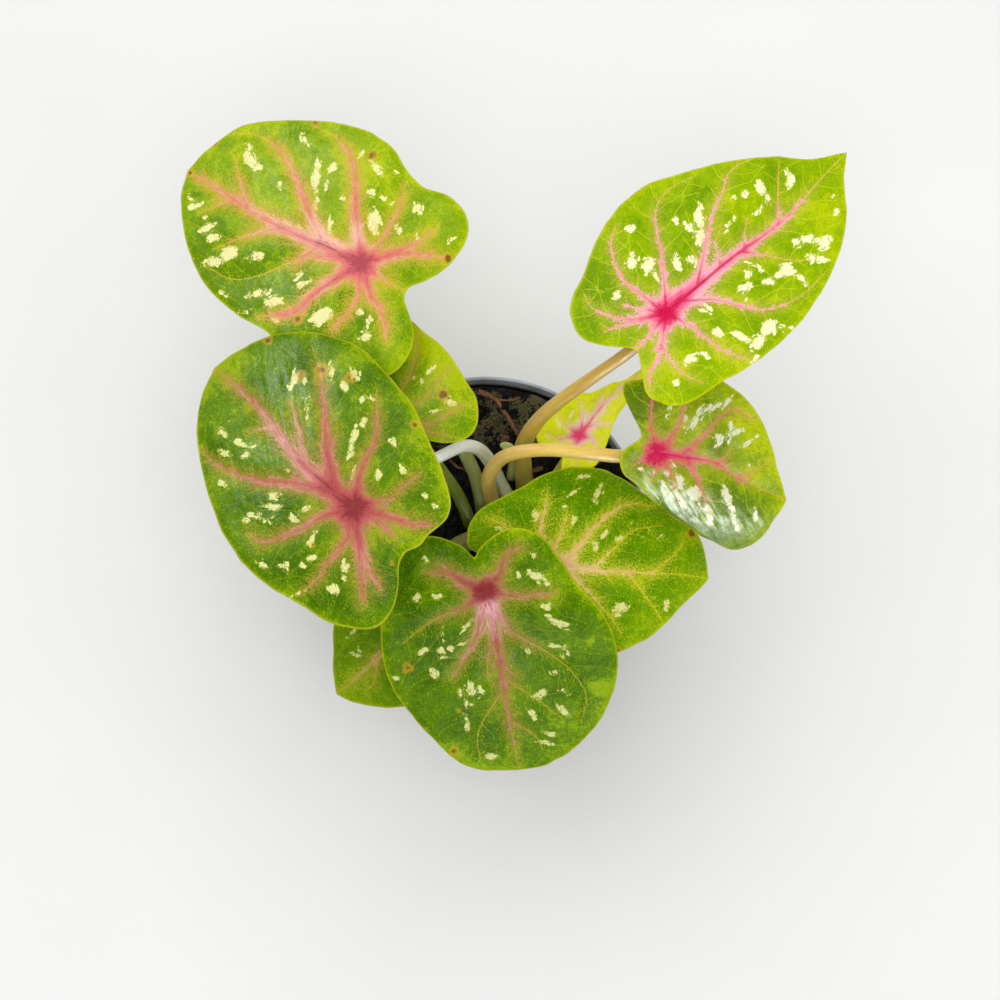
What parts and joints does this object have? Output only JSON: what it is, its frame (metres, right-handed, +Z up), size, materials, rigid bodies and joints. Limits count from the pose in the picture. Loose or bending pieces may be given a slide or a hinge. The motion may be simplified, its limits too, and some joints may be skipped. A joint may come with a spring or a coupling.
{
  "type": "potted caladium plant",
  "caption": "Small potted caladium: heart-shaped green leaves with pink veins and cream blotches on arching stalks, in a round tapered nursery pot of soil.",
  "frame": {"origin": "centre of the pot's flat underside, on the surface that the pot stands on", "axes": "+Z straight up along the pot's axis; +Y is away from the viewer in the picture's view, and +X is to its right"},
  "size_m": [0.1224, 0.1197, 0.0987],
  "materials": {
    "leaf_green": "satin",
    "leaf_lime": "satin",
    "leaf_young": "satin",
    "stalk_green": "satin",
    "stalk_tan": "satin",
    "tuber": "matte",
    "soil": "matte",
    "pot": "satin"
  },
  "bodies": {
    "root": {"leaf_upper_left": "leaf_green", "leaf_left": "leaf_green", "leaf_behind": "leaf_green", "leaf_upper_right": "leaf_lime", "leaf_right": "leaf_lime", "leaf_young": "leaf_young", "leaf_lower_right": "leaf_green", "leaf_front": "leaf_green", "leaf_lower_left": "leaf_green", "stalk_upper_left": "stalk_green", "stalk_left": "stalk_green", "stalk_behind": "stalk_green", "stalk_upper_right": "stalk_tan", "stalk_right": "stalk_tan", "stalk_young": "stalk_green", "stalk_lower_right": "stalk_green", "stalk_front": "stalk_green", "stalk_lower_left": "stalk_green", "shoot_sheath": "stalk_green", "tuber": "tuber", "soil": "soil", "pot": "pot"}
  },
  "joints": []
}
